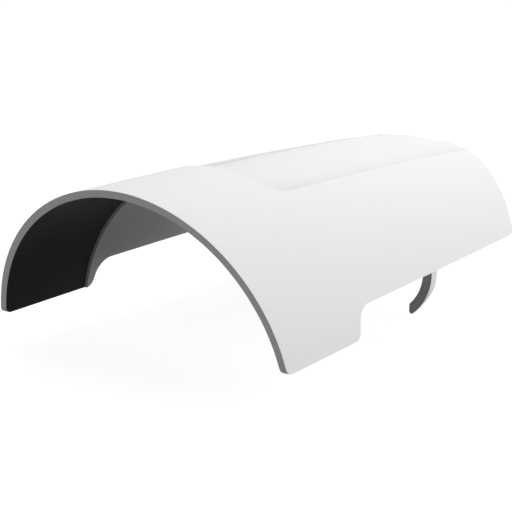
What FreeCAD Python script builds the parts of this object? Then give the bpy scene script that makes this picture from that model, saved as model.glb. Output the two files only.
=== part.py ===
import FreeCAD, Part
import math
import os

import Sketcher

# Camera sun shield: one moulded arch with side lobes, a sunken top panel and two hooked clip arms,
# and the thin matt black layer inside its front.
# Frame: X across the shield, Y from the front opening to the back, Z up. The origin is the centre of
# the arch's circle, level with the foremost point of the front edge.

doc = FreeCAD.newDocument("sun_shield")
sheet = doc.addObject("Spreadsheet::Sheet", "Sizes")
sheet.Label = "driving dimensions"

SIZES = [
    ("arch_radius", 66.0, "outer radius of the arch"),
    ("top_line_radius", 3230.0, "radius of the long curve that the top line follows"),
    ("wall_front", 2.5, "wall in the front zone"),
    ("wall_rear", 3.85, "wall behind the inner step"),
    ("front_rake", 9.7, "lean of the front edge, top forward, degrees"),
    ("rear_lean", 28.9, "lean of the rear edge, top back, degrees"),
    ("lobe_bottom", 9.5, "height of the lobes' lower edge over the arch centre"),
    ("flank_bottom", 20.5, "height of the flanks' lower edge over the arch centre"),
    ("lobe_rear_foot", 57.65, "distance of the lobe's rear lower corner"),
    ("lobe_rear_lean", 14.8, "lean of the lobe's rear edge, degrees"),
    ("rear_foot", 196.3, "distance of the flank's rear lower corner"),
    ("lobe_front_round", 3.0, "corner round at the lobe's front"),
    ("lobe_rear_round", 4.2, "corner round at the lobe's rear"),
    ("flank_notch_round", 8.0, "inner round where lobe and flank meet"),
    ("rear_corner_round", 5.0, "corner round at the flank's rear"),
    ("thick_zone_start", 54.8, "distance of the inner step"),
    ("panel_front", 57.9, "distance of the sunken panel's front edge"),
    ("panel_half_width", 29.2, "half width of the sunken panel"),
    ("panel_corner_round", 7.5, "plan corner round of the sunken panel"),
    ("panel_radius", 96.0, "radius of the panel across the shield"),
    ("panel_top_height", 61.6, "height of the panel's middle line, carried forward to the front"),
    ("panel_line_radius", 4230.0, "radius of the long curve that the panel's middle line follows"),
    ("panel_floor_round", 1.0, "inner round along the foot of the panel's walls"),
    ("panel_set_back", 7.4, "set back of the middle of the panel's rear edge"),
    ("set_back_half_inner", 15.2, "half width of that set back at its foot"),
    ("set_back_half_outer", 16.6, "half width of that set back at the rear edge"),
    ("clip_front", 137.0, "distance of the clip arms' front face"),
    ("clip_width", 4.6, "width of a clip arm along the shield, at the flank"),
    ("clip_thick", 4.0, "thickness of a clip arm"),
    ("clip_bend_radius", 19.3, "inner radius of the clip arm's bend"),
    ("clip_bend_across", 28.65, "distance of the bend's centre from the middle"),
    ("clip_bend_height", 13.8, "height of the bend's centre"),
    ("clip_tip_across", 42.0, "distance of the clip arm's tip face from the middle"),
    ("clip_tip_round", 1.1, "round at the outer corner of the tip"),
    ("clip_taper_start", 9.5, "height where the arm's rear edge starts to curve forward"),
    ("clip_taper_round", 14.0, "radius of that curve"),
    ("clip_tip_width", 0.9, "width of the arm's tip along the shield"),
    ("liner_thick", 0.25, "thickness of the black layer"),
    ("trim_margin", 12.0, "how far the trimming shapes reach past the shield"),
]

for row, (alias, value, words) in enumerate(SIZES, start=1):
    sheet.set("A%d" % row, words)
    sheet.set("B%d" % row, "%g" % value)
    sheet.setAlias("B%d" % row, alias)
doc.recompute()


def cells(formula):
    """The formula with each size's name written as a reference to its cell."""
    for alias, _, _ in sorted(SIZES, key=lambda item: -len(item[0])):
        formula = formula.replace("<%s>" % alias, "Sizes.%s" % alias)
    return formula


def number(formula):
    found = sheet.evalExpression(cells(formula).replace("Sizes.", ""))
    return float(getattr(found, "Value", found))


def vec(across, along):
    return FreeCAD.Vector(across, along, 0)


def plane_of(body, role):
    return [item for item in body.Origin.OriginFeatures if item.Role == role][0]


def sketch_on(body, name, role, along_x=None, along_y=None, lift=None):
    """A sketch on one of the body's own planes, moved by formulas in the sketch's own directions."""
    sketch = body.newObject("Sketcher::SketchObject", name)
    sketch.AttachmentSupport = [(plane_of(body, role), "")]
    sketch.MapMode = "FlatFace"
    for letter, formula in (("x", along_x), ("y", along_y), ("z", lift)):
        if formula:
            sketch.setExpression("AttachmentOffset.Base.%s" % letter, cells(formula))
    return sketch


def pin(sketch, kind, parts, formula):
    """A sized constraint whose value follows a formula of the sheet's sizes."""
    index = sketch.addConstraint(Sketcher.Constraint(kind, *parts, number(formula)))
    sketch.setExpression("Constraints[%d]" % index, cells(formula))


def outline(sketch, corners):
    """A closed outline from corners (across formula, along formula, round formula or None)."""
    count = len(corners)
    spots = [vec(number(item[0]), number(item[1])) for item in corners]
    frame = []
    for i in range(count):
        frame.append(sketch.addGeometry(Part.LineSegment(spots[i], spots[(i + 1) % count]), True))
    for i in range(count):
        sketch.addConstraint(Sketcher.Constraint("Coincident", frame[i - 1], 2, frame[i], 1))
        pin(sketch, "DistanceX", (-1, 1, frame[i], 1), corners[i][0])
        pin(sketch, "DistanceY", (-1, 1, frame[i], 1), corners[i][1])
    # where each round starts and ends along its two sides
    cuts = []
    for i in range(count):
        before = (spots[i - 1] - spots[i]).normalize()
        after = (spots[(i + 1) % count] - spots[i]).normalize()
        reach = 0.0
        if corners[i][2]:
            reach = number(corners[i][2]) / math.tan(before.getAngle(after) / 2.0)
        cuts.append((spots[i] + before * reach, spots[i] + after * reach, before, after))
    sides = []
    for i in range(count):
        far = (i + 1) % count
        sides.append(sketch.addGeometry(Part.LineSegment(cuts[i][1], cuts[far][0]), False))
        for corner, end in ((i, 1), (far, 2)):
            if corners[corner][2]:
                sketch.addConstraint(Sketcher.Constraint("PointOnObject", sides[i], end, frame[i]))
            else:
                sketch.addConstraint(Sketcher.Constraint("Coincident", sides[i], end, frame[i], end))
    for i in range(count):
        if not corners[i][2]:
            continue
        size = number(corners[i][2])
        come, leave, before, after = cuts[i]
        toward = (before + after).normalize()
        centre = spots[i] + toward * (size / math.sin(before.getAngle(after) / 2.0))
        turn_left = before.cross(after).z < 0
        first, last = (come, leave) if turn_left else (leave, come)
        start = math.atan2(first.y - centre.y, first.x - centre.x)
        stop = math.atan2(last.y - centre.y, last.x - centre.x)
        if stop < start:
            stop += 2.0 * math.pi
        circle = Part.Circle(centre, FreeCAD.Vector(0, 0, 1), size)
        arc = sketch.addGeometry(Part.ArcOfCircle(circle, start, stop), False)
        ends = (1, 2) if turn_left else (2, 1)
        sketch.addConstraint(Sketcher.Constraint("Tangent", arc, ends[0], sides[i - 1], 2))
        sketch.addConstraint(Sketcher.Constraint("Tangent", arc, ends[1], sides[i], 1))
        pin(sketch, "Radius", (arc,), corners[i][2])


def swept(body, name, sketch, ahead, behind=None):
    """Turn a sketch about its own horizontal axis, by 'ahead' toward the back and 'behind' forward."""
    turn = body.newObject("PartDesign::Revolution", name)
    turn.Profile = sketch
    turn.ReferenceAxis = (sketch, ["H_Axis"])
    turn.Reversed = True
    turn.Type = "Angle"
    if behind:
        turn.Type = "TwoAngles"
        turn.setExpression("Angle2", cells(behind))
    turn.setExpression("Angle", cells(ahead))
    return turn


def dome_sketch(body, name, radius):
    """Half a disc of the given radius above the arch's centre line."""
    sketch = sketch_on(body, name, "XZ_Plane", along_y="<arch_radius> - <top_line_radius>")
    size = number(radius)
    high = number("<top_line_radius> - <arch_radius>")
    circle = Part.Circle(vec(0, high), FreeCAD.Vector(0, 0, 1), size)
    arc = sketch.addGeometry(Part.ArcOfCircle(circle, 0.0, math.pi), False)
    flat = sketch.addGeometry(Part.LineSegment(vec(-size, high), vec(size, high)), False)
    sketch.addConstraint(Sketcher.Constraint("Coincident", arc, 2, flat, 1))
    sketch.addConstraint(Sketcher.Constraint("Coincident", arc, 1, flat, 2))
    sketch.addConstraint(Sketcher.Constraint("Horizontal", flat))
    sketch.addConstraint(Sketcher.Constraint("PointOnObject", arc, 3, flat))
    sketch.addConstraint(Sketcher.Constraint("PointOnObject", arc, 3, -2))
    pin(sketch, "DistanceY", (-1, 1, arc, 3), "<top_line_radius> - <arch_radius>")
    pin(sketch, "Radius", (arc,), radius)
    return sketch


REAR_TOP = "(<rear_foot> + tan(<rear_lean>) * (<arch_radius> - <flank_bottom>))"
PAST_REAR = "asin((%s + <trim_margin>) / <top_line_radius>)" % REAR_TOP
PANEL_PAST_REAR = "asin((%s + <trim_margin>) / <panel_line_radius>)" % REAR_TOP
PAST_FRONT = "asin(<trim_margin> / <top_line_radius>)"
FRAME_TOP = "<arch_radius> + <trim_margin>"
FRAME_REACH = "%s + 4 * <trim_margin>" % REAR_TOP


def side_corners():
    """The shield's outline from the side, open above the top line."""
    lean_back = "%s + tan(<rear_lean>) * <trim_margin>" % REAR_TOP
    return [
        ("-tan(<front_rake>) * <trim_margin>", FRAME_TOP, None),
        ("tan(<front_rake>) * (<arch_radius> - <lobe_bottom>)", "<lobe_bottom>", "<lobe_front_round>"),
        ("<lobe_rear_foot>", "<lobe_bottom>", "<lobe_rear_round>"),
        ("<lobe_rear_foot> + tan(<lobe_rear_lean>) * (<flank_bottom> - <lobe_bottom>)",
         "<flank_bottom>", "<flank_notch_round>"),
        ("<rear_foot>", "<flank_bottom>", "<rear_corner_round>"),
        (lean_back, FRAME_TOP, None),
    ]


def trimmed(body, name, role, kept, border):
    """Cut away everything outside the kept outline, right through the body."""
    sketch = sketch_on(body, name + "_outline", role)
    outline(sketch, kept)
    outline(sketch, border)
    cut = body.newObject("PartDesign::Pocket", name)
    cut.Profile = sketch
    cut.Type = "ThroughAll"
    cut.SideType = "Symmetric"
    return cut


SIDE_BORDER = [
    ("-3 * <trim_margin>", "-3 * <trim_margin>", None),
    (FRAME_REACH, "-3 * <trim_margin>", None),
    (FRAME_REACH, "<arch_radius> + 3 * <trim_margin>", None),
    ("-3 * <trim_margin>", "<arch_radius> + 3 * <trim_margin>", None),
]


def cut_behind(body, name, distance):
    """Cut away everything behind a plane square to the shield's length."""
    sketch = sketch_on(body, name + "_outline", "XZ_Plane", lift="-(%s)" % distance)
    side = "<arch_radius> + 2 * <trim_margin>"
    outline(sketch, [
        ("-(%s)" % side, "-(%s)" % side, None),
        (side, "-(%s)" % side, None),
        (side, side, None),
        ("-(%s)" % side, side, None),
    ])
    cut = body.newObject("PartDesign::Pocket", name)
    cut.Profile = sketch
    cut.Type = "ThroughAll"
    return cut


def panel_block(name, sink):
    """The space above the sunken panel, made larger all round by the sink."""
    body = doc.addObject("PartDesign::Body", name)
    sketch = sketch_on(body, name + "_section", "XZ_Plane", along_y="<panel_top_height> - <panel_line_radius>")
    wide = "<panel_half_width> + %s + <trim_margin>" % sink
    high = "<panel_line_radius> + 2 * <trim_margin>"
    size = number("<panel_radius> - %s" % sink)
    centre = number("<panel_line_radius> - <panel_radius>")
    half = number(wide)
    top = number(high)
    foot = centre + math.sqrt(size * size - half * half)
    circle = Part.Circle(vec(0, centre), FreeCAD.Vector(0, 0, 1), size)
    lean = math.atan2(foot - centre, half)
    arc = sketch.addGeometry(Part.ArcOfCircle(circle, lean, math.pi - lean), False)
    right = sketch.addGeometry(Part.LineSegment(vec(half, foot), vec(half, top)), False)
    over = sketch.addGeometry(Part.LineSegment(vec(half, top), vec(-half, top)), False)
    left = sketch.addGeometry(Part.LineSegment(vec(-half, top), vec(-half, foot)), False)
    sketch.addConstraint(Sketcher.Constraint("Coincident", arc, 1, right, 1))
    sketch.addConstraint(Sketcher.Constraint("Coincident", right, 2, over, 1))
    sketch.addConstraint(Sketcher.Constraint("Coincident", over, 2, left, 1))
    sketch.addConstraint(Sketcher.Constraint("Coincident", left, 2, arc, 2))
    sketch.addConstraint(Sketcher.Constraint("Vertical", right))
    sketch.addConstraint(Sketcher.Constraint("Vertical", left))
    sketch.addConstraint(Sketcher.Constraint("Symmetric", over, 1, over, 2, -2))
    sketch.addConstraint(Sketcher.Constraint("PointOnObject", arc, 3, -2))
    pin(sketch, "DistanceY", (-1, 1, arc, 3), "<panel_line_radius> - <panel_radius>")
    pin(sketch, "Radius", (arc,), "<panel_radius> - %s" % sink)
    pin(sketch, "DistanceX", (-1, 1, right, 1), wide)
    pin(sketch, "DistanceY", (-1, 1, right, 2), high)
    swept(body, name + "_sweep", sketch, PANEL_PAST_REAR)
    doc.recompute()
    side = "<panel_half_width> + %s" % sink
    front = "<panel_front> - %s" % sink
    back = "%s + 2 * <trim_margin>" % REAR_TOP
    corner = "<panel_corner_round> + %s" % sink
    kept = [
        ("-(%s)" % side, front, corner),
        (side, front, corner),
        (side, back, None),
        ("-(%s)" % side, back, None),
    ]
    far = "<panel_half_width> + 4 * <trim_margin>"
    border = [
        ("-(%s)" % far, "-2 * <trim_margin>", None),
        (far, "-2 * <trim_margin>", None),
        (far, FRAME_REACH, None),
        ("-(%s)" % far, FRAME_REACH, None),
    ]
    trimmed(body, name + "_plan", "XY_Plane", kept, border)
    doc.recompute()
    return body


def soften_floor(body):
    """Round the edges where the panel's floor meets its walls."""
    before = body.Tip
    shape = before.Shape
    floor = min(shape.Faces, key=lambda face: face.CenterOfMass.z)
    names = []
    for place, edge in enumerate(shape.Edges, start=1):
        on_floor = any(edge.isSame(other) for other in floor.Edges)
        if on_floor and edge.CenterOfMass.y < number(REAR_TOP):
            names.append("Edge%d" % place)
    soft = body.newObject("PartDesign::Fillet", "panel_floor_rounds")
    soft.Base = (before, names)
    soft.setExpression("Radius", cells("<panel_floor_round>"))
    doc.recompute()


def rear_hollow(name):
    """The hollow of the rear zone, which leaves a wall of the same thickness under the panel."""
    wall = panel_block(name + "_panel_wall", "<wall_rear>")
    body = doc.addObject("PartDesign::Body", name)
    section = dome_sketch(body, name + "_section", "<arch_radius> - <wall_rear>")
    swept(body, name + "_sweep", section, PAST_REAR, PAST_FRONT)
    doc.recompute()
    spared = body.newObject("PartDesign::Boolean", name + "_spared")
    spared.Type = "Cut"
    spared.setObjects([wall])
    doc.recompute()
    return body


def front_block(body, radius, end):
    """Fill the arch's inside to a radius, from the front to a plane square to the shield's length."""
    section = dome_sketch(body, body.Name + "_section", radius)
    swept(body, body.Name + "_sweep", section, PAST_STEP, PAST_FRONT)
    doc.recompute()
    cut_behind(body, body.Name + "_end", end)
    doc.recompute()
    return body


PAST_STEP = "asin((<thick_zone_start> + <trim_margin>) / <top_line_radius>)"

# The tool shapes: the sunken panel's space, and the hollow inside in its rear and front zones.
recess = panel_block("panel_recess", "0")
soften_floor(recess)
rear_space = rear_hollow("rear_zone_space")
front_space = doc.addObject("PartDesign::Body", "front_zone_space")
front_block(front_space, "<arch_radius> - <wall_front>", "<thick_zone_start>")

# The shell: the solid arch, trimmed from the side, sunk for the panel and hollowed.
shell = doc.addObject("PartDesign::Body", "shield_shell")
shell.Label = "shield_shell"
swept(shell, "arch", dome_sketch(shell, "arch_section", "<arch_radius>"), PAST_REAR, PAST_FRONT)
doc.recompute()
trimmed(shell, "side_trim", "YZ_Plane", side_corners(), SIDE_BORDER)
doc.recompute()
opened = shell.newObject("PartDesign::Boolean", "hollow_and_panel")
opened.Type = "Cut"
opened.setObjects([recess, rear_space, front_space])
doc.recompute()

# The middle of the panel's rear edge is set back; its faces lean with the rear edge.
back_sketch = sketch_on(shell, "panel_set_back_outline", "XY_Plane")
lean = FreeCAD.Rotation(FreeCAD.Vector(-1, 0, 0), number("<rear_lean>"))
back_sketch.AttachmentOffset = FreeCAD.Placement(FreeCAD.Vector(0, 0, 0), lean)
back_sketch.setExpression("AttachmentOffset.Rotation.Angle", cells("<rear_lean>"))
REAR_LINE = "(<rear_foot> * cos(<rear_lean>) - <flank_bottom> * sin(<rear_lean>))"
SET_LINE = "%s - <panel_set_back> * cos(<rear_lean>)" % REAR_LINE
outline(back_sketch, [
    ("-<set_back_half_inner>", SET_LINE, None),
    ("<set_back_half_inner>", SET_LINE, None),
    ("<set_back_half_outer>", REAR_LINE, None),
    ("<set_back_half_outer>", REAR_LINE + " + <trim_margin>", None),
    ("-<set_back_half_outer>", REAR_LINE + " + <trim_margin>", None),
    ("-<set_back_half_outer>", REAR_LINE, None),
])
set_back = shell.newObject("PartDesign::Pocket", "panel_rear_set_back")
set_back.Profile = back_sketch
set_back.Type = "ThroughAll"
set_back.SideType = "Symmetric"
doc.recompute()

# One clip arm and its mirror image. The leg's top ends inside the wall.
arm_sketch = sketch_on(shell, "clip_arm_outline", "XZ_Plane", lift="-<clip_front>")
inner = number("<clip_bend_radius>")
outer = number("<clip_bend_radius> + <clip_thick>")
bend_x = number("<clip_bend_across>")
bend_z = number("<clip_bend_height>")
tip_x = number("<clip_tip_across>")
tip_round = number("<clip_tip_round>")
DROP = "(<clip_front> + <clip_width> / 2)^2 / (2 * <top_line_radius>)"
MID_WALL = "<arch_radius> - <wall_rear> / 2"
wall_x = number(MID_WALL)
wall_z = -number(DROP)
z_axis = FreeCAD.Vector(0, 0, 1)
bend = vec(bend_x, bend_z)
round_x = tip_x + tip_round
round_z = bend_z - math.sqrt((outer - tip_round) ** 2 - (round_x - bend_x) ** 2)
inner_low = -math.acos((tip_x - bend_x) / inner)
outer_low = math.atan2(round_z - bend_z, round_x - bend_x)
leg_in = vec(bend_x + inner, wall_z + math.sqrt(wall_x ** 2 - (bend_x + inner) ** 2))
leg_out = vec(bend_x + outer, wall_z + math.sqrt(wall_x ** 2 - (bend_x + outer) ** 2))
tip_top = vec(tip_x, bend_z + inner * math.sin(inner_low))
tip_low = vec(tip_x, round_z)
arm_in = arm_sketch.addGeometry(Part.LineSegment(leg_in, vec(bend_x + inner, bend_z)), False)
arc_in = arm_sketch.addGeometry(Part.ArcOfCircle(Part.Circle(bend, z_axis, inner), inner_low, 0.0), False)
face = arm_sketch.addGeometry(Part.LineSegment(tip_top, tip_low), False)
nose_circle = Part.Circle(vec(round_x, round_z), z_axis, tip_round)
nose = arm_sketch.addGeometry(Part.ArcOfCircle(nose_circle, math.pi, outer_low + 2.0 * math.pi), False)
arc_out = arm_sketch.addGeometry(Part.ArcOfCircle(Part.Circle(bend, z_axis, outer), outer_low, 0.0), False)
arm_out = arm_sketch.addGeometry(Part.LineSegment(vec(bend_x + outer, bend_z), leg_out), False)
root = arm_sketch.addGeometry(Part.LineSegment(leg_out, leg_in), False)
guide = arm_sketch.addGeometry(Part.Circle(vec(0, wall_z), z_axis, wall_x), True)
for rule in (
    ("Tangent", arc_in, 2, arm_in, 2),
    ("Coincident", arc_in, 1, face, 1),
    ("Tangent", nose, 1, face, 2),
    ("Tangent", nose, 2, arc_out, 1),
    ("Tangent", arc_out, 2, arm_out, 1),
    ("Coincident", arm_out, 2, root, 1),
    ("Coincident", root, 2, arm_in, 1),
    ("Coincident", arc_in, 3, arc_out, 3),
    ("Vertical", arm_in),
    ("Vertical", arm_out),
    ("Vertical", face),
    ("PointOnObject", guide, 3, -2),
    ("PointOnObject", arm_in, 1, guide),
    ("PointOnObject", arm_out, 2, guide),
):
    arm_sketch.addConstraint(Sketcher.Constraint(*rule))
pin(arm_sketch, "Radius", (arc_in,), "<clip_bend_radius>")
pin(arm_sketch, "Radius", (arc_out,), "<clip_bend_radius> + <clip_thick>")
pin(arm_sketch, "Radius", (nose,), "<clip_tip_round>")
pin(arm_sketch, "Radius", (guide,), MID_WALL)
pin(arm_sketch, "DistanceX", (-1, 1, arc_in, 3), "<clip_bend_across>")
pin(arm_sketch, "DistanceY", (-1, 1, arc_in, 3), "<clip_bend_height>")
pin(arm_sketch, "DistanceX", (-1, 1, face, 1), "<clip_tip_across>")
pin(arm_sketch, "DistanceY", (-1, 1, guide, 3), "-(%s)" % DROP)
arm = shell.newObject("PartDesign::Pad", "clip_arm")
arm.Profile = arm_sketch
arm.Type = "Length"
arm.Reversed = True
arm.setExpression("Length", cells("<clip_width>"))
doc.recompute()
pair = shell.newObject("PartDesign::Mirrored", "clip_arm_pair")
pair.Originals = [arm]
pair.MirrorPlane = (plane_of(shell, "YZ_Plane"), [""])
shell.Tip = pair
doc.recompute()

# The arms' rear edges curve forward, so that each arm narrows toward its tip.
taper_sketch = sketch_on(shell, "clip_arm_taper_outline", "YZ_Plane")
wide = number("<clip_front> + <clip_width>")
start = number("<clip_taper_start>")
curve = number("<clip_taper_round>")
tip_y = number("<clip_front> + <clip_tip_width>")
low = math.acos((curve - wide + tip_y) / curve)
tip_start = vec(tip_y, start - curve * math.sin(low))
corner_a = vec(wide + number("<trim_margin>"), start)
corner_b = vec(corner_a.x, -number("<trim_margin>"))
corner_c = vec(tip_y, corner_b.y)
sweep_circle = Part.Circle(vec(wide - curve, start), z_axis, curve)
bow = taper_sketch.addGeometry(Part.ArcOfCircle(sweep_circle, -low, 0.0), False)
over = taper_sketch.addGeometry(Part.LineSegment(vec(wide, start), corner_a), False)
rear = taper_sketch.addGeometry(Part.LineSegment(corner_a, corner_b), False)
under = taper_sketch.addGeometry(Part.LineSegment(corner_b, corner_c), False)
riser = taper_sketch.addGeometry(Part.LineSegment(corner_c, tip_start), False)
for rule in (
    ("Coincident", bow, 2, over, 1),
    ("Coincident", over, 2, rear, 1),
    ("Coincident", rear, 2, under, 1),
    ("Coincident", under, 2, riser, 1),
    ("Coincident", riser, 2, bow, 1),
    ("Horizontal", over),
    ("Vertical", rear),
    ("Horizontal", under),
    ("Vertical", riser),
    ("PointOnObject", bow, 3, over),
):
    taper_sketch.addConstraint(Sketcher.Constraint(*rule))
pin(taper_sketch, "Radius", (bow,), "<clip_taper_round>")
pin(taper_sketch, "DistanceX", (-1, 1, over, 1), "<clip_front> + <clip_width>")
pin(taper_sketch, "DistanceY", (-1, 1, over, 1), "<clip_taper_start>")
pin(taper_sketch, "DistanceX", (-1, 1, rear, 1), "<clip_front> + <clip_width> + <trim_margin>")
pin(taper_sketch, "DistanceY", (-1, 1, under, 1), "-<trim_margin>")
pin(taper_sketch, "DistanceX", (-1, 1, riser, 1), "<clip_front> + <clip_tip_width>")
taper = shell.newObject("PartDesign::Pocket", "clip_arm_taper")
taper.Profile = taper_sketch
taper.Type = "ThroughAll"
taper.SideType = "Symmetric"
doc.recompute()

# The black layer: it lines the front zone's inside and covers the inner step's face.
liner = doc.addObject("PartDesign::Body", "antiglare_liner")
liner.Label = "antiglare_liner"
front_block(liner, "<arch_radius> - <wall_front>", "<thick_zone_start>")
lens_space = doc.addObject("PartDesign::Body", "lined_front_space")
front_block(lens_space, "<arch_radius> - <wall_front> - <liner_thick>", "<thick_zone_start> - <liner_thick>")
step_space = rear_hollow("step_opening")
emptied = liner.newObject("PartDesign::Boolean", "layer_hollow")
emptied.Type = "Cut"
emptied.setObjects([lens_space, step_space])
doc.recompute()
trimmed(liner, "layer_trim", "YZ_Plane", side_corners(), SIDE_BORDER)
doc.recompute()

os.makedirs("parts", exist_ok=True)
for item in doc.Objects:
    troubled = [word for word in item.State if word in ("Invalid", "Error")]
    if troubled:
        raise RuntimeError("%s is %s" % (item.Name, troubled))
for node in (shell, liner):
    shape = node.Shape
    if shape.isNull() or not shape.isValid():
        raise RuntimeError("%s has no valid shape" % node.Label)
    shape.exportStep("parts/%s.step" % node.Label)
    box = shape.BoundBox
    print(node.Label, "solids", len(shape.Solids), "volume", round(shape.Volume, 1),
          "x", round(box.XMin, 2), round(box.XMax, 2), "y", round(box.YMin, 2), round(box.YMax, 2),
          "z", round(box.ZMin, 2), round(box.ZMax, 2))
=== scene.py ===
import math

import bpy
from mathutils import Matrix, Vector


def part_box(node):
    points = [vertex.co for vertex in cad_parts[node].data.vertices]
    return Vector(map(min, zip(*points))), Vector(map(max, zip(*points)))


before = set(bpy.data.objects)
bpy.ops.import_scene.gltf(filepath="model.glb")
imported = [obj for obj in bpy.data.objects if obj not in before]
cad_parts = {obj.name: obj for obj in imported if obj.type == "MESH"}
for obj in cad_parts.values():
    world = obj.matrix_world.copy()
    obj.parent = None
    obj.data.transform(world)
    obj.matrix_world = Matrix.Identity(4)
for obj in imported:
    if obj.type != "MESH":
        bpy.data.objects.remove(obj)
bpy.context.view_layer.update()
scene = bpy.context.scene

MM = 0.001

# The sunken panel in the shell's top, with the sizes of the part's source
PANEL_FRONT = 57.9 * MM
PANEL_HALF_WIDTH = 29.2 * MM
PANEL_CORNER_ROUND = 7.5 * MM

# How much painted shade darkens the panel's colour at a wall, and how far from the wall half of that is
# left
PAINTED_SIDE_SHADE = 0.1
PAINTED_SIDE_SHADE_HALVED = 3.5 * MM
PAINTED_FRONT_SHADE = 0.07
PAINTED_FRONT_SHADE_HALVED = 14.0 * MM

# The least part of a surface's normal along an axis that counts as facing that way
FACING_UP = 0.5
FACING_FRONT = 0.7

# The darkest and lightest tone of each plastic
WHITE_TONES = (0.815, 0.812, 0.817, 1.0), (0.845, 0.842, 0.847, 1.0)
BLACK_TONES = (0.061, 0.061, 0.0614, 1.0), (0.071, 0.071, 0.0714, 1.0)

EDGE_SOFTNESS = 0.1 * MM
MOTTLE_SCALE = 38.0
BROAD_SHARE = 0.12
SPECK_SHARE = 0.88
NOISE_LOW = 0.3
NOISE_HIGH = 0.7

FLOOR_HALF_SIDE = 40.0
FLOOR_GAP = 0.2 * MM
STAGE_MIDDLE = Vector((0.0, 0.1, 0.0))

# The floor as it is seen keeps the object's shadow, and bounced light meets a mid grey
FLOOR_SEEN = 0.33
FLOOR_LIFT = 0.9
FLOOR_BOUNCE = 0.3
AMBIENT = 0.03

SUN_SPREAD = math.radians(40.0)
SOFT_BOX_SIDE = 0.4
SOFT_BOX_DISTANCE = 0.6
LIT_MIDDLE = STAGE_MIDDLE + Vector((0.0, 0.0, 0.03))

# The camera, as fitted to the photograph
VIEW_AROUND = math.radians(34.4656)
VIEW_ABOVE = math.radians(14.4133)
EYE = Vector((309.06, -364.01, 165.29)) * MM
FOCAL_LENGTH = 99.97
SENSOR_WIDTH = 36.0


def grey(level):
    return level, level, level, 1.0


def direction(turn, rise):
    """The unit vector that is turned around from the front toward the right and raised above the floor."""
    return Vector((math.sin(turn) * math.cos(rise), -math.cos(turn) * math.cos(rise), math.sin(rise)))


# Nodes


def put(tree, socket, value):
    """Set an input to a plain value, or link it to the output of another node."""
    if isinstance(value, bpy.types.NodeSocket):
        tree.links.new(value, socket)
    else:
        socket.default_value = value


def add(tree, kind, *first_inputs, **values):
    """A node with its properties and inputs set by name, and its first inputs in their order."""
    made = tree.nodes.new(kind)
    for key, value in values.items():
        if hasattr(made, key):
            setattr(made, key, value)
        else:
            put(tree, made.inputs[key.replace("_", " ")], value)
    for socket, value in zip(made.inputs, first_inputs):
        put(tree, socket, value)
    return made


def calc(tree, operation, first, second=0.0):
    """One sum on two values."""
    return add(tree, "ShaderNodeMath", first, second, operation=operation).outputs["Value"]


def noise(tree, place, scale, detail, roughness):
    made = add(tree, "ShaderNodeTexNoise", Vector=place, Scale=scale, Detail=detail, Roughness=roughness)
    return made.outputs["Fac"]


def spread(tree, value, low, high):
    """A noise value brought between two limits."""
    limits = {"From_Min": NOISE_LOW, "From_Max": NOISE_HIGH, "To_Min": low, "To_Max": high}
    return add(tree, "ShaderNodeMapRange", Value=value, **limits).outputs["Result"]


def mix_colours(tree, factor, first, second):
    return add(tree, "ShaderNodeMix", data_type="RGBA", Factor=factor, A=first, B=second).outputs["Result"]


def mix_shaders(tree, factor, first, second):
    return add(tree, "ShaderNodeMixShader", factor, first, second).outputs["Shader"]


def parts_of(tree, vector):
    """The X, Y and Z outputs of a vector."""
    return add(tree, "ShaderNodeSeparateXYZ", vector).outputs


def object_place(tree):
    return add(tree, "ShaderNodeTexCoord").outputs["Object"]


def true_normal(tree):
    return add(tree, "ShaderNodeNewGeometry").outputs["True Normal"]


def new_material(name):
    made = bpy.data.materials.new(name)
    made.use_nodes = True
    made.node_tree.nodes.clear()
    return made, made.node_tree


# Materials


def fading(tree, distance, halved, most):
    """A share that is the most at a wall and halves with each further step away from it."""
    left = calc(tree, "POWER", 0.5, calc(tree, "DIVIDE", distance, halved))
    return calc(tree, "MULTIPLY", left, most)


def distance_to_panel_wall(tree, place):
    """How far a place lies inside the panel's outline, whose front corners are round."""
    across = calc(tree, "ABSOLUTE", place["X"])
    past_side = calc(tree, "SUBTRACT", across, PANEL_HALF_WIDTH - PANEL_CORNER_ROUND)
    past_front = calc(tree, "SUBTRACT", PANEL_FRONT + PANEL_CORNER_ROUND, place["Y"])
    side_part = calc(tree, "POWER", calc(tree, "MAXIMUM", past_side, 0.0), 2.0)
    front_part = calc(tree, "POWER", calc(tree, "MAXIMUM", past_front, 0.0), 2.0)
    in_corner = calc(tree, "SQRT", calc(tree, "ADD", side_part, front_part))
    in_middle = calc(tree, "MINIMUM", calc(tree, "MAXIMUM", past_side, past_front), 0.0)
    return calc(tree, "SUBTRACT", PANEL_CORNER_ROUND, calc(tree, "ADD", in_corner, in_middle))


def painted_panel_shade(tree):
    """Painted shade: how much darker the sunken panel's colour gets toward its side walls and its front
    wall, where those walls shade it.
    """
    place = parts_of(tree, object_place(tree))
    from_wall = distance_to_panel_wall(tree, place)
    from_front = calc(tree, "SUBTRACT", place["Y"], PANEL_FRONT)
    near = fading(tree, from_wall, PAINTED_SIDE_SHADE_HALVED, PAINTED_SIDE_SHADE)
    far = fading(tree, from_front, PAINTED_FRONT_SHADE_HALVED, PAINTED_FRONT_SHADE)
    inside = calc(tree, "GREATER_THAN", from_wall, 0.0)
    upward = calc(tree, "GREATER_THAN", parts_of(tree, true_normal(tree))["Z"], FACING_UP)
    return calc(tree, "MULTIPLY", calc(tree, "ADD", near, far), calc(tree, "MULTIPLY", inside, upward))


def facing_front(tree):
    """One where the surface faces the front, else zero."""
    front = (0.0, -1.0, 0.0)
    facing = add(tree, "ShaderNodeVectorMath", true_normal(tree), front, operation="DOT_PRODUCT")
    return calc(tree, "GREATER_THAN", facing.outputs["Value"], FACING_FRONT)


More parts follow.
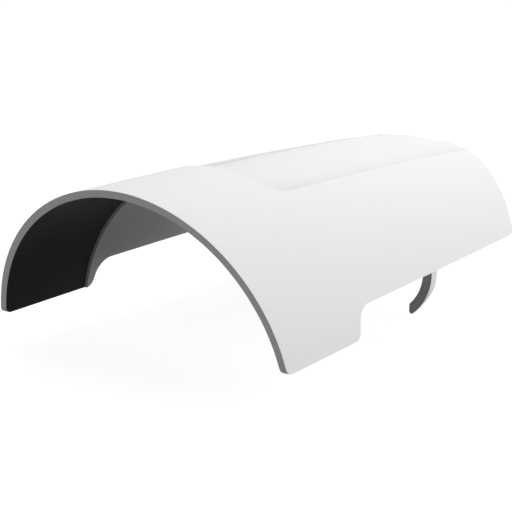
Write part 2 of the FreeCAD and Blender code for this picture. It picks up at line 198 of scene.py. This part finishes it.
def plastic(name, tones, rough, grain, depth, gloss, front_tones=None):
    """Moulded plastic: a fine grain, a faint mottle in tone and gloss, softened edges, and painted shade
    that darkens the sunken panel toward its walls.
    """
    made, tree = new_material(name)
    place = object_place(tree)
    fine = noise(tree, place, grain, 3.0, 0.6)
    broad = noise(tree, place, MOTTLE_SCALE, 4.0, 0.55)
    speck = noise(tree, place, grain * 0.8, 2.0, 0.5)
    broad_part = spread(tree, broad, 0.0, BROAD_SHARE)
    mottle = calc(tree, "ADD", broad_part, spread(tree, speck, 0.0, SPECK_SHARE))
    tone = mix_colours(tree, mottle, *tones)
    if front_tones:
        front_tone = mix_colours(tree, mottle, *front_tones)
        tone = mix_colours(tree, facing_front(tree), tone, front_tone)
    # Painted shade: the colour is darkened toward the panel's walls, standing in for the shade the walls
    # cast
    colour = mix_colours(tree, painted_panel_shade(tree), tone, grey(0.0))
    soft = add(tree, "ShaderNodeBevel", samples=6, Radius=EDGE_SOFTNESS).outputs["Normal"]
    bump = add(tree, "ShaderNodeBump", Strength=0.35, Distance=depth, Height=fine, Normal=soft)
    surface = add(tree, "ShaderNodeBsdfPrincipled", IOR=1.5, Specular_IOR_Level=gloss, Base_Color=colour)
    put(tree, surface.inputs["Roughness"], spread(tree, broad, *rough))
    put(tree, surface.inputs["Normal"], bump.outputs["Normal"])
    add(tree, "ShaderNodeOutputMaterial", surface.outputs["BSDF"])
    return made


def shell_white():
    """The shell's fine matt white."""
    return plastic("shell_white", WHITE_TONES, (0.62, 0.72), 1500.0, 0.04 * MM, 0.1)


def liner_black():
    """The liner's matt black. On its rim and over the inner step it faces the front and is shell white."""
    return plastic("liner_black", BLACK_TONES, (0.8, 0.9), 1900.0, 0.06 * MM, 0.05, WHITE_TONES)


def dress(name, material):
    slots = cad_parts[name].data.materials
    slots.clear()
    slots.append(material)


dress("shield_shell", shell_white())
dress("antiglare_liner", liner_black())


# Floor and world


def shown_rays(tree):
    """One for the rays that show the background: the camera's, a gloss's and those through clear things."""
    path = add(tree, "ShaderNodeLightPath").outputs
    seen = calc(tree, "MAXIMUM", path["Is Camera Ray"], path["Is Glossy Ray"])
    return calc(tree, "MAXIMUM", seen, path["Is Transmission Ray"])


def floor_material():
    """White where it is seen, with the object's shadow kept, and a mid grey for bounced light."""
    made, tree = new_material("studio_floor")
    grain = noise(tree, object_place(tree), 60.0, 5.0, 0.6)
    rough = spread(tree, grain, 0.4, 0.6)
    seen = add(tree, "ShaderNodeBsdfDiffuse", Color=grey(FLOOR_SEEN), Roughness=rough).outputs["BSDF"]
    lift = add(tree, "ShaderNodeEmission", Color=grey(1.0), Strength=FLOOR_LIFT).outputs["Emission"]
    lifted = add(tree, "ShaderNodeAddShader", seen, lift).outputs["Shader"]
    bounce = add(tree, "ShaderNodeBsdfDiffuse", Color=grey(FLOOR_BOUNCE)).outputs["BSDF"]
    add(tree, "ShaderNodeOutputMaterial", mix_shaders(tree, shown_rays(tree), bounce, lifted))
    return made


def add_floor():
    low = min(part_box(name)[0].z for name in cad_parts)
    sheet = bpy.data.meshes.new("studio_floor")
    side = FLOOR_HALF_SIDE
    corners = [(-side, -side, 0), (side, -side, 0), (side, side, 0), (-side, side, 0)]
    sheet.from_pydata(corners, [], [(0, 1, 2, 3)])
    sheet.materials.append(floor_material())
    floor = bpy.data.objects.new("studio_floor", sheet)
    scene.collection.objects.link(floor)
    floor.location = STAGE_MIDDLE + Vector((0.0, 0.0, low - FLOOR_GAP))


def add_world():
    """White where the world is seen, a dim even light otherwise."""
    world = bpy.data.worlds.new("studio")
    scene.world = world
    world.use_nodes = True
    tree = world.node_tree
    tree.nodes.clear()
    shown = add(tree, "ShaderNodeBackground", Color=grey(1.0), Strength=1.0).outputs["Background"]
    ambient = add(tree, "ShaderNodeBackground", Color=grey(1.0), Strength=AMBIENT).outputs["Background"]
    add(tree, "ShaderNodeOutputWorld", mix_shaders(tree, shown_rays(tree), ambient, shown))


add_floor()
add_world()


# Lights, each with its degrees around from the front toward the right and its degrees above the floor


def lamp_object(name, lamp, toward):
    made = bpy.data.objects.new(name, lamp)
    scene.collection.objects.link(made)
    made.rotation_euler = toward.to_track_quat("Z", "Y").to_euler()
    return made


def sun(name, around, above, strength):
    """A soft, even light from far off."""
    lamp = bpy.data.lights.new(name, "SUN")
    lamp.energy = strength * math.pi
    lamp.angle = SUN_SPREAD
    lamp_object(name, lamp, direction(math.radians(around), math.radians(above)))


def soft_box(name, around, above, power):
    """A square lamp near the object, turned toward its middle."""
    lamp = bpy.data.lights.new(name, "AREA")
    lamp.shape = "SQUARE"
    lamp.size = SOFT_BOX_SIDE
    lamp.energy = power
    toward = direction(math.radians(around), math.radians(above))
    lamp_object(name, lamp, toward).location = LIT_MIDDLE + toward * SOFT_BOX_DISTANCE


sun("low_right", 120.0, 10.0, 0.33)
sun("low_rear", 150.0, 10.0, 0.263)
sun("far_side", 225.0, 35.0, 0.322)
sun("front", 0.0, 35.0, 0.145)
soft_box("side_right", 100.0, 15.0, 1.246)
soft_box("rear", 180.0, 45.0, 0.872)
soft_box("overhead_left", 270.0, 75.0, 1.312)


# Camera


def add_camera():
    lens = bpy.data.cameras.new("camera")
    lens.sensor_fit = "HORIZONTAL"
    lens.sensor_width = SENSOR_WIDTH
    lens.lens = FOCAL_LENGTH
    lens.clip_start = 0.01
    lens.clip_end = 100.0
    camera = bpy.data.objects.new("camera", lens)
    scene.collection.objects.link(camera)
    back = direction(VIEW_AROUND, VIEW_ABOVE)
    right = Vector((math.cos(VIEW_AROUND), math.sin(VIEW_AROUND), 0.0))
    turn = Matrix((right, back.cross(right), back)).transposed().to_4x4()
    camera.matrix_world = Matrix.Translation(EYE) @ turn
    scene.camera = camera


add_camera()
scene.view_settings.view_transform = "Standard"
